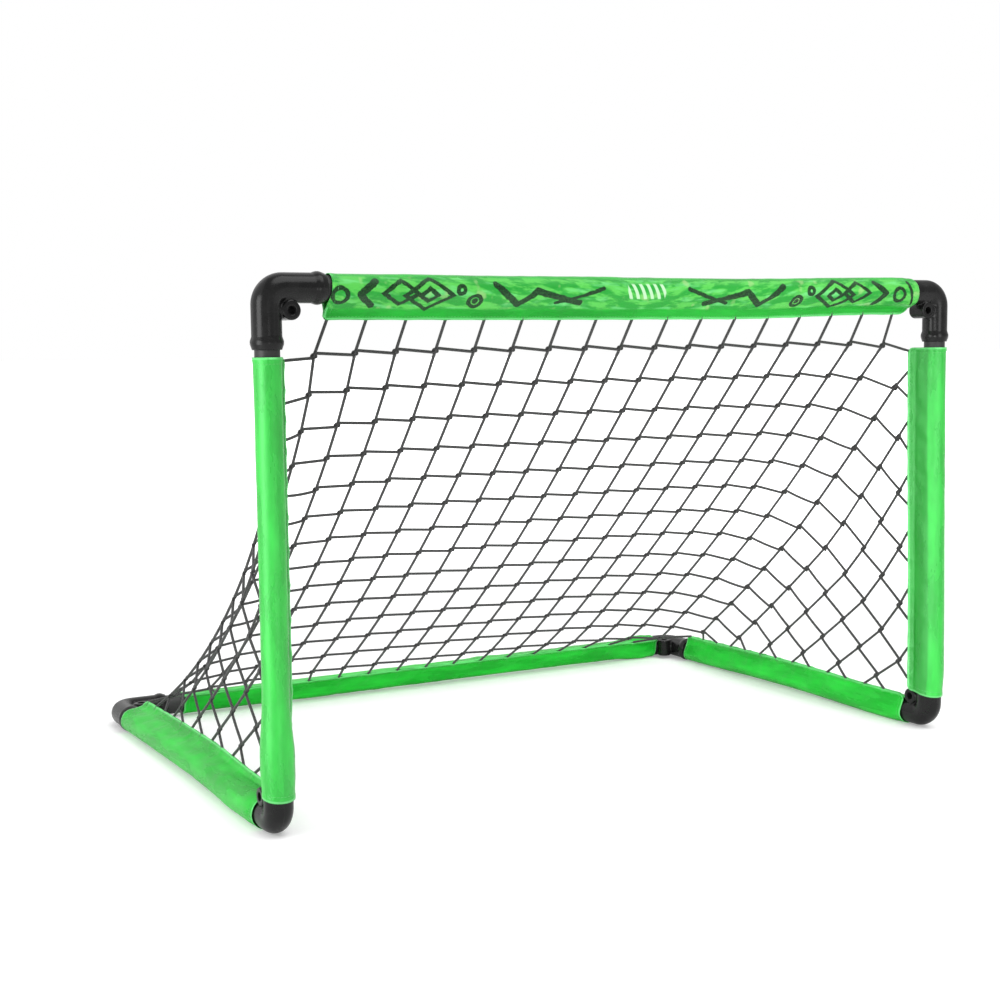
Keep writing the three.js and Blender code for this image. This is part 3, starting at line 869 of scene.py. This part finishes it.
def make_sleeves():
    """The six sleeves by node, with the same ends and hem directions as in the CAD part."""
    banner_hem = turned(-UP, BACK, BANNER_HEM_LEAN)
    back_hem = turned(-BACK, UP, BACK_HEM_RISE)
    sleeves = [
        Sleeve(
            "banner_sleeve", corner(-1, False, True), RIGHT, banner_hem, 2 * HALF_WIDTH, ends=(0.0635, 0.041),
            radii=(END_RADIUS, COLLAR_RADIUS), taper=0.250, folds=0.0013, seed=3,
            slopes=((-0.09, 0.0), (-0.11, 0.0)), rounding=(0.004, 0.020),
        ),
        Sleeve(
            "back_sleeve", corner(-1, True, False), RIGHT, back_hem, 2 * HALF_WIDTH, ends=(0.082, 0.033),
            radii=(END_RADIUS, COLLAR_RADIUS), taper=0.040, folds=0.0014, seed=7,
        ),
    ]
    for hand, side in HANDS.items():
        foot = corner(side, False, False)
        post_hem = turned(-side * RIGHT, BACK, POST_HEM_TURN)
        side_hem = turned(-side * RIGHT, UP, SIDE_HEM_RISE)
        sleeves += [
            Sleeve(
                f"{hand}_post_sleeve", foot, UP, post_hem, POST_LENGTH,
                ends=(POST_FOOT_CUT[hand], 0.067), radii=(COLLAR_RADIUS, END_RADIUS), taper=POST_TAPER[hand],
                folds=POST_FOLDS[hand], seed=11 + side, slopes=(lug_slopes(UP, post_hem, BACK), (0.0, 0.0)),
            ),
            Sleeve(
                f"{hand}_side_sleeve", foot, BACK, side_hem, 2 * HALF_DEPTH,
                ends=(0.034, 0.062), radii=(COLLAR_RADIUS, SIDE_END_RADIUS), taper=0.200, folds=0.0015,
                seed=21 + side, slopes=((0.0, 0.0), (0.35, 0.0)), rounding=(0.006, 0.010),
            ),
        ]
    return {sleeve.node: sleeve for sleeve in sleeves}


def fold_noise(across, along, seed, octaves=3):
    """Smooth noise between about -1 and 1, from a random lattice for each octave."""
    random = np.random.default_rng(seed)
    size = 64
    total = np.zeros(np.broadcast(across, along).shape)
    for octave in range(octaves):
        lattice = random.uniform(-1, 1, (size, size))
        x, y = across * 2**octave, along * 2**octave
        column, row = np.floor(x).astype(int), np.floor(y).astype(int)
        right, up = smooth(x - column, 0, 1), smooth(y - row, 0, 1)
        for i, j in itertools.product((0, 1), repeat=2):
            weight = np.where(i, right, 1 - right) * np.where(j, up, 1 - up)
            total += weight * lattice[(column + i) % size, (row + j) % size] / 2**octave
    return total / 1.4


def sleeve_sections(radius, reach, half_gap):
    """Cross-sections of a sleeve, one row each, as places towards the hem and square to it. Each runs from
    one turned-in hem's inner edge round the tube to the other's."""
    layer = half_gap + 2 * HEM_FOLD
    seam = reach * (1 - HEM_BAND / HEM_REACH)
    touch = np.arctan2(layer, seam) + np.arccos(radius / np.hypot(seam, layer))
    fold_centre = reach - HEM_FOLD
    flap = np.linspace(0, 1, FLAP_POINTS)
    turn = np.linspace(-np.pi / 2, np.pi / 2, FOLD_POINTS)
    free = np.linspace(0, 1, FREE_POINTS)[1:]
    touch_y, touch_z = radius * np.cos(touch), radius * np.sin(touch)
    half = [
        (seam + TURN_IN + (fold_centre - seam - TURN_IN) * flap, half_gap + 0 * flap),
        (fold_centre + HEM_FOLD * np.cos(turn), half_gap + HEM_FOLD + HEM_FOLD * np.sin(turn)),
        (fold_centre + (seam - fold_centre) * flap, layer + 0 * flap),
        (seam + (touch_y - seam) * free, layer + (touch_z - layer) * free),
    ]
    along_hem = np.concatenate([y for y, z in half], 1)
    off_hem = np.concatenate([z for y, z in half], 1)
    angle = touch + (2 * np.pi - 2 * touch) * np.linspace(0, 1, ARC_POINTS)[1:-1]
    towards = np.concatenate([along_hem, radius * np.cos(angle), along_hem[:, ::-1]], 1)
    square = np.concatenate([off_hem, radius * np.sin(angle), -off_hem[:, ::-1]], 1)
    return towards, square


def creased(sleeve, towards, square, across, place, reach):
    """The sections with folds, which only stand out from the tube and are slight in the hem."""
    step_y, step_z = np.gradient(towards, axis=1), np.gradient(square, axis=1)
    size = np.maximum(np.hypot(step_y, step_z), 1e-9)
    off_tube = smooth(np.abs(across), *OFF_TUBE)
    in_hem = smooth(towards, reach - HEM_BAND - 0.004, reach - HEM_BAND + 0.002)
    slanted = place + FOLD_SLANT * across
    folds = fold_noise(across / FOLD_SIZE[0] + FOLD_SHIFT, slanted / FOLD_SIZE[1], sleeve.seed)
    long_places = across / LONG_FOLD_SIZE[0] + FOLD_SHIFT, place / LONG_FOLD_SIZE[1]
    long_folds = fold_noise(*long_places, sleeve.seed + 50, octaves=2)
    height = sleeve.folds * (folds * (0.35 + 0.65 * off_tube) + 0.5 * long_folds)
    height = np.where(height < 0, height * off_tube, height) * (1 - 0.85 * in_hem)
    return towards + step_z / size * height, square - step_y / size * height


def cut_ends(sleeve, towards, square, reach):
    """Places along the tube where each line of the cloth starts and ends."""
    insets = []
    for (slope_y, slope_z), size in zip(sleeve.slopes, sleeve.rounding):
        near_tip = np.clip(1 - (reach - towards) / size, 0, 1)
        insets.append(slope_y * towards + slope_z * square + size * (1 - np.sqrt(1 - near_tip**2)))
    return sleeve.ends[0] + insets[0], sleeve.span - sleeve.ends[1] - insets[1]


def sleeve_places(sleeve):
    """A sleeve's cloth as a grid of points in its own directions, with two maps for its material: places
    on the flat cloth, and distances from the cut end and the hem's tip."""
    stations = np.linspace(0, 1, round(sleeve.length / STATION_STEP))[:, None]
    place = sleeve.ends[0] + sleeve.length * stations
    from_end = np.minimum(place - sleeve.ends[0], sleeve.span - place - sleeve.ends[1])
    from_thread = np.abs(place - np.array(sleeve.threads)).min(1, keepdims=True)
    pulled = np.exp(-((from_thread / THREAD_WIDTH) ** 2))
    reach = sleeve.reach_at(place) - HEM_SCALLOP * smooth(from_thread, 0, SCALLOP_WIDTH)
    in_rim = 1 - smooth(from_end, RIM_WIDTH - RIM_STEP, RIM_WIDTH + RIM_STEP)
    radius = sleeve.radius_at(place, gathered=True) + RIM_HEIGHT * in_rim
    towards, square = sleeve_sections(radius, reach, HEM_GAP + THREAD_BULGE * pulled)
    across = run_along(np.stack([towards, square], -1))
    across -= across[:, -1:] / 2
    towards, square = creased(sleeve, towards, square, across, place, reach)
    start, finish = cut_ends(sleeve, towards, square, reach)
    along = start + (finish - start) * stations
    edges = np.stack(np.broadcast_arrays(from_end, reach - towards), -1)
    return (along, towards, square), np.stack([across, along], -1), edges


def add_sleeve(sleeve, material, thread_material):
    """A sleeve's cloth, which lies on the ground where it would pass below it, and its stitching."""
    places, cloth_map, edges = sleeve_places(sleeve)
    points = sleeve.to_frame(*places)
    points[..., 2] = np.maximum(points[..., 2], CLOTH)
    name = f"{sleeve.node}_cloth"
    mesh = smooth_mesh(name, points.reshape(-1, 3), quads(*points.shape[:2]), material)
    set_map(mesh, cloth_map, "Cloth")
    set_map(mesh, edges, "Edges")
    piece = add_piece(name, mesh, sleeve.node)
    thickness = piece.modifiers.new("cloth thickness", "SOLIDIFY")
    thickness.thickness = CLOTH
    thickness.offset = 0.0
    stitching = add_stitching(sleeve, points, thread_material)
    flat = (SLEEVE_CUT, sleeve.length)


def stitch_rows(points):
    """Lines of stitches on a sleeve, each with the lines beside it: one on each face of the hem, and one
    round each end."""
    seam_column = FLAP_POINTS + FOLD_POINTS + 1
    last = points.shape[1] - 1
    first_row = round(END_SEAM / STATION_STEP)
    wall = slice(seam_column, last - seam_column + 1)
    for column, step in ((seam_column, 1), (last - seam_column, -1)):
        yield points[:, column], points[:, column + step], points[:, column - step]
    for row, step in ((first_row, 1), (-1 - first_row, -1)):
        yield points[row, wall], points[row + step, wall], points[row - step, wall]


def seam_normals(sleeve, line, one_side, other_side):
    """Unit normals of the cloth along a seam, away from the tube's axis or, on a hem, from its middle."""
    normal = unit(np.cross(unit(np.gradient(line, axis=0)), one_side - other_side))
    to_axis = line - sleeve.to_frame(sleeve.span / 2, 0.0, 0.0)
    to_axis -= (to_axis @ sleeve.along)[:, None] * sleeve.along
    if np.ptp(line @ sleeve.along) > LEAST_HEM_LINE:
        outward = sleeve.square * np.sign((to_axis @ sleeve.square).mean())
        flipped = normal @ outward < 0
    else:
        flipped = (normal * to_axis).sum(1) < 0
    normal[flipped] *= -1
    return normal


def stitches(line, normal):
    """Rings of points for each stitch along a seam. Its middle stands up and its ends go into the cloth."""
    run = run_along(line)
    profile = np.linspace(0, 1, STITCH_POINTS)
    lift = CLOTH / 2 + STITCH_RADIUS * (1.4 * np.sin(np.pi * profile) - 0.5)
    for start in np.arange(STITCH_GAP, run[-1] - STITCH, STITCH + STITCH_GAP):
        at = start + STITCH * profile
        centre, out = (np.stack([np.interp(at, run, axis) for axis in way.T], 1) for way in (line, normal))
        out = unit(out)
        side = unit(np.cross(out, centre[-1] - centre[0]))
        yield rings(centre + out * lift[:, None], side, out, STITCH_SIDES, STITCH_RADIUS)


def add_stitching(sleeve, points, material):
    shapes = []
    for line, one_side, other_side in stitch_rows(points):
        shapes += stitches(line, seam_normals(sleeve, line, one_side, other_side))
    starts = STITCH_POINTS * STITCH_SIDES * np.arange(len(shapes))[:, None, None]
    faces = quads(STITCH_POINTS, STITCH_SIDES, closed_columns=True) + starts
    name = f"{sleeve.node}_stitching"
    mesh = smooth_mesh(name, np.reshape(shapes, (-1, 3)), faces.reshape(-1, 4), material)
    return add_piece(name, mesh)


# Net


class Net:
    """The net's points, its fixed places on the hems, and its links with their rest lengths.

    It is one sheet with rows across the goal and columns down its slope. Cut flat it is a hexagon: each row
    to the middle has one more knot at both ends, and these fill the two side openings.
    """

    def __init__(self, sleeves):
        self.sleeves = sleeves
        self.points = []
        self.hems = {}
        self.knots = {}
        self.links = []
        self.lay_knots()
        self.tie_to_bars()
        self.tie_to_sides()
        for (row, column), knot in self.knots.items():
            if (row, column + 1) in self.knots:
                self.links.append((knot, self.knots[row, column + 1], ROW_REST, "row"))
            if (row + 1, column) in self.knots:
                self.links.append((knot, self.knots[row + 1, column], COLUMN_REST, "column"))
        self.points = np.array(self.points)

    def add_point(self, place):
        self.points.append(np.asarray(place, float))
        return len(self.points) - 1

    def on_hem(self, node, along):
        """A fixed point at the tip of a sleeve's hem."""
        sleeve = self.sleeves[node]
        sleeve.threads.append(along)
        index = self.add_point(sleeve.to_frame(along, sleeve.reach_at(along), 0.0))
        self.hems[index] = sleeve.hem
        return index

    def lay_knots(self):
        """A first place for each knot, from which the net settles."""
        left, right = NET_TOP_LEFT - HALF_WIDTH, HALF_WIDTH - NET_TOP_RIGHT
        for row in range(1, NET_ROWS + 1):
            extra = min(row, NET_ROWS + 1 - row) - 1
            share = row / (NET_ROWS + 1)
            for column in range(-extra, NET_COLUMNS + extra):
                inside = min(max(column, 0), NET_COLUMNS - 1)
                beyond = abs(column - inside)
                x = left + (right - left) * inside / (NET_COLUMNS - 1)
                y = -HALF_DEPTH + 2 * HALF_DEPTH * share
                z = BAR_LINE - POST_LENGTH * share
                if beyond:
                    x = math.copysign(HALF_WIDTH - TUBE_RADIUS, column)
                    y = max(y - beyond * SIDE_STEP, -HALF_DEPTH + TUBE_RADIUS)
                    z = max(z - beyond * SIDE_STEP, GROUND_LINE + TUBE_RADIUS)
                self.knots[row, column] = self.add_point((x, y, z))

    def tie_to_bars(self):
        for column in range(NET_COLUMNS):
            share = column / (NET_COLUMNS - 1)
            top = NET_TOP_LEFT + share**NET_TOP_POWER * (2 * HALF_WIDTH - NET_TOP_LEFT - NET_TOP_RIGHT)
            back = NET_BACK_LEFT + share * (2 * HALF_WIDTH - NET_BACK_LEFT - NET_BACK_RIGHT)
            above = self.on_hem("banner_sleeve", top)
            below = self.on_hem("back_sleeve", back)
            self.links.append((above, self.knots[1, column], TOP_REST, "column"))
            self.links.append((self.knots[NET_ROWS, column], below, BACK_REST, "column"))

    def tie_to_sides(self):
        count = 2 * (NET_ROWS // 2) - 1
        share = np.linspace(0, 1, count)
        heights = POST_LENGTH - NET_POST_TOP - (NET_POST_FOOT - NET_POST_TOP) * share**NET_POST_POWER
        depths = NET_SIDE_REAR - (NET_SIDE_REAR - NET_SIDE_FRONT) * share**NET_SIDE_POWER
        for hand, index in itertools.product(HANDS, range(count)):
            extra = (index + 1) // 2
            row = index // 2 + 1 + index % 2
            column = -extra if hand == "left" else NET_COLUMNS - 1 + extra
            kind = "column" if index % 2 else "row"
            rest = POST_REST if index else FIRST_ROW_REST
            upper = self.on_hem(f"{hand}_post_sleeve", heights[index])
            lower = self.on_hem(f"{hand}_side_sleeve", depths[index])
            self.links.append((upper, self.knots[row, column], rest, kind))
            self.links.append((self.knots[NET_ROWS + 1 - row, column], lower, SIDE_REST, kind))

    def settle(self):
        """Lets the net hang: taut cords pull, slack ones hardly do, and each knot has its weight."""
        first, second, rest = (np.array([link[i] for link in self.links]) for i in range(3))
        free = np.ones(len(self.points), bool)
        free[list(self.hems)] = False
        speed = np.zeros_like(self.points)
        for _ in range(SETTLE_STEPS):
            span = self.points[second] - self.points[first]
            length = np.linalg.norm(span, axis=1)
            tension = np.maximum(length - rest, 0) + CORD_SOFTNESS * length
            pull = span * (tension / length)[:, None]
            force = np.zeros_like(self.points)
            np.add.at(force, first, pull)
            np.add.at(force, second, -pull)
            force[:, 2] -= KNOT_WEIGHT
            speed[free] = (speed[free] + force[free] * SETTLE_GAIN) * SETTLE_DAMPING
            self.points += speed


def ordered_span(points, ends, towards):
    """Unit direction between two neighbours, turned the way of the given one."""
    span = unit(points[ends[1]] - points[ends[0]])
    return span if span @ towards > 0 else -span


def knot_frames(net):
    """For each knot, unit directions across the net, down it and out of it."""
    spans = {knot: {"row": [], "column": []} for knot in range(len(net.points))}
    for first, second, _, kind in net.links:
        spans[first][kind].append(second)
        spans[second][kind].append(first)
    frames = {}
    for knot in net.knots.values():
        across = ordered_span(net.points, spans[knot]["row"], RIGHT + BACK * 0.2)
        down = ordered_span(net.points, spans[knot]["column"], -UP + BACK * 0.5)
        normal = unit(np.cross(across, down))
        frames[knot] = (across, unit(np.cross(normal, across)), normal)
    return frames


def leaving_place(net, frames, knot, other, kind):
    """Where a cord leaves a knot. A row's cords leave its upper end on the right, its lower on the left."""
    place = net.points[knot]
    if kind != "row" or knot in net.hems:
        return place
    across, down, _ = frames[knot]
    to_right = (net.points[other] - place) @ across > 0
    return place - down * (ROW_STEP if to_right else -ROW_STEP)


def square_to(tangent, towards):
    """Two directions square to a line's tangent. The first is square to towards as well."""
    tangent = unit(tangent)
    side = unit(np.cross(towards, tangent))
    return side, np.cross(tangent, side)


def hanging_line(start, end, slack):
    """The way of one cord between two places, with a sag where the cord is longer than its span."""
    share = np.linspace(0, 1, LINK_RINGS)[:, None]
    span = end - start
    length = np.linalg.norm(span)
    sag = min(math.sqrt(max(slack, 0) * length * 3 / 8), MOST_SAG * length)
    down = -UP - (-UP @ span / length) * span / length
    return start + share * span + 4 * share * (1 - share) * sag * down


def hem_end(net, anchor):
    """The last bit of a cord, between the two layers of a hem."""
    depth = np.array([0.3, 1.0])[:, None] * HEM_DEPTH
    return net.points[anchor] - depth * net.hems[anchor]


def cord_tube(net, frames, link):
    """Rings of points round one cord, and the distance of each from its start."""
    first, second, rest, kind = link
    start = leaving_place(net, frames, first, second, kind)
    end = leaving_place(net, frames, second, first, kind)
    line = hanging_line(start, end, rest - np.linalg.norm(end - start))
    if first in net.hems:
        line = np.concatenate([hem_end(net, first)[::-1], line])
    if second in net.hems:
        line = np.concatenate([line, hem_end(net, second)])
    normal = unit(sum(frames[i][2] for i in (first, second) if i in frames))
    directions = square_to(np.gradient(line, axis=0), normal)
    return rings(line, *directions, CORD_SIDES, CORD_RADIUS), run_along(line)


def knot_tube(frame_of_knot, centre):
    """Rings of points round a tight knot: a closed trefoil of cord that lies flat in the net."""
    across, down, normal = frame_of_knot
    turn = np.linspace(0, 2 * np.pi, KNOT_LOOPS, endpoint=False)[:, None]
    x = np.sin(turn) + 2 * np.sin(2 * turn)
    y = np.cos(turn) - 2 * np.cos(2 * turn)
    z = -1.1 * np.sin(3 * turn)
    line = centre + KNOT_SIZE * (x * across + KNOT_STRETCH * y * down + z * normal)
    directions = square_to(np.roll(line, -1, 0) - np.roll(line, 1, 0), line - line.mean(0))
    return rings(line, *directions, KNOT_SIDES, KNOT_STRAND)


def add_net(net, material):
    """The whole net as one mesh: a cord for each link and a knot at each crossing."""
    frames = knot_frames(net)
    knot_run = KNOT_STEP * np.arange(KNOT_LOOPS)
    shapes = [(*cord_tube(net, frames, link), 0.0) for link in net.links]
    shapes += [(knot_tube(frames[i], net.points[i]), knot_run, KNOT_MARK) for i in net.knots.values()]
    points, faces, places = [], [], []
    count = 0
    for tube, run, mark in shapes:
        length, sides = tube.shape[:2]
        around = mark + np.arange(sides) / sides
        points.append(tube.reshape(-1, 3))
        faces.append(quads(length, sides, closed_rows=mark > 0, closed_columns=True) + count)
        places.append(np.stack(np.broadcast_arrays(around, run[:, None]), -1).reshape(-1, 2))
        count += length * sides
    mesh = smooth_mesh("net_cords", np.concatenate(points), np.concatenate(faces), material)
    set_map(mesh, np.concatenate(places), "Cloth")
    add_piece("net_cords", mesh, "net")


# Studio


def add_camera():
    yaw, pitch, roll = (math.radians(angle) for angle in (CAMERA_YAW, CAMERA_PITCH, CAMERA_ROLL))
    aim = Matrix.Rotation(-yaw, 4, "Z") @ Matrix.Rotation(math.pi / 2 - pitch, 4, "X")
    data = bpy.data.cameras.new("camera")
    data.lens = CAMERA_LENS
    data.clip_start, data.clip_end = 0.05, 60
    camera = add_object("camera", data)
    camera.matrix_world = Matrix.Translation(CAMERA_PLACE) @ aim @ Matrix.Rotation(roll, 4, "Z")
    bpy.context.scene.camera = camera


def add_light(data, towards):
    """Adds a light that shines from the given direction."""
    light = add_object(data.name, data)
    light.rotation_mode = "QUATERNION"
    light.rotation_quaternion = towards.to_track_quat("Z", "Y")
    return light


def add_lamp(name, azimuth, elevation, strength, softness):
    """A soft lamp far away. Azimuth 0 shines from the front, 90 from the right and -90 from the left."""
    data = bpy.data.lights.new(name, "SUN")
    data.energy = strength
    data.angle = math.radians(softness)
    turn, rise = math.radians(azimuth), math.radians(elevation)
    level = math.cos(rise)
    add_light(data, Vector((math.sin(turn) * level, -math.cos(turn) * level, math.sin(rise))))


def add_softbox(name, place, aim, width, height, power, spread):
    """A softbox near the goal."""
    data = bpy.data.lights.new(name, "AREA")
    data.shape = "RECTANGLE"
    data.size, data.size_y = width, height
    data.energy = power
    data.spread = math.radians(spread)
    light = add_light(data, Vector(place) - Vector(aim))
    light.location = place
    light.visible_camera = False


def is_seen(nodes):
    """1 for rays that show the background straight or through glass, and less for those in a gloss."""
    path = nodes.add("LightPath", {})
    in_gloss = nodes.math("MULTIPLY", path["Is Glossy Ray"], GLOSS_SHARE)
    straight = nodes.math("MAXIMUM", path["Is Camera Ray"], in_gloss)
    return nodes.math("MAXIMUM", straight, path["Is Transmission Ray"])


def add_world():
    world = bpy.data.worlds.new("studio")
    bpy.context.scene.world = world
    nodes = Nodes(world)
    strength = nodes.math("MULTIPLY_ADD", is_seen(nodes), 1.0 - WORLD_LIGHT, WORLD_LIGHT)
    nodes.fill(nodes.tree.nodes["Background"], {"Color": grey(1.0), "Strength": strength})


def add_floor():
    """A pale floor that shows white without lighting the goal."""
    nodes = Nodes(bpy.data.materials.new("floor"))
    far = nodes.vector("LENGTH", nodes.place(), output="Value")
    glow = nodes.ramp(far, FADE_START, FADE_END, FLOOR_GLOW, 1.0)
    material = nodes.shade({
        "Base Color": grey(0.86),
        "Roughness": 0.9,
        "Specular IOR Level": 0.0,
        "Emission Color": grey(1.0),
        "Emission Strength": nodes.math("MULTIPLY", is_seen(nodes), glow),
    })
    half = FLOOR_SIZE / 2
    corners = [(-half, -half, 0), (half, -half, 0), (half, half, 0), (-half, half, 0)]
    add_object("floor", smooth_mesh("floor", corners, [(0, 1, 2, 3)], material))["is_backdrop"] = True


def add_soft_pieces():
    """The sleeves and the net, which settles between their hems before they are made."""
    sleeves = make_sleeves()
    net = Net(sleeves)
    net.settle()
    thread = sewing_thread()
    # The ground sleeves' satin is painted lighter than the posts', as painted light for cloth that the lamps
    # light less; the posts' hems get the most painted shade.
    ground_look = {"index": 1.5, "level": 0.3, "hem_shade": 0.1}
    post_cloth = sleeve_cloth("post_satin", index=1.7, level=0.95, hem_shade=0.75)
    ground_cloth_painted_lighter = sleeve_cloth("ground_satin", gain=1.22, **ground_look)
    cloths = {
        "banner_sleeve": banner_cloth(),
        "back_sleeve": ground_cloth_painted_lighter,
        "left_post_sleeve": post_cloth,
        "left_side_sleeve": sleeve_cloth("left_ground_satin", gain=1.02, **ground_look),
        "right_post_sleeve": post_cloth,
        "right_side_sleeve": ground_cloth_painted_lighter,
    }
    for node, sleeve in sleeves.items():
        add_sleeve(sleeve, cloths[node], thread)
    add_net(net, net_cord())


def main():
    bpy.context.scene.view_settings.view_transform = "Standard"
    add_camera()
    add_elbows(moulded_plastic())
    coating = coated_tube()
    for name in ("crossbar", "back", "left_post", "right_post", "left_side", "right_side"):
        add_tube(f"{name}_tube", coating)
    add_soft_pieces()
    add_world()
    add_floor()
    for softbox in SOFTBOXES:
        add_softbox(*softbox)
    for lamp in LAMPS:
        add_lamp(*lamp)


main()
[[list(point) for point in box] for box in (cad_box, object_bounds())]
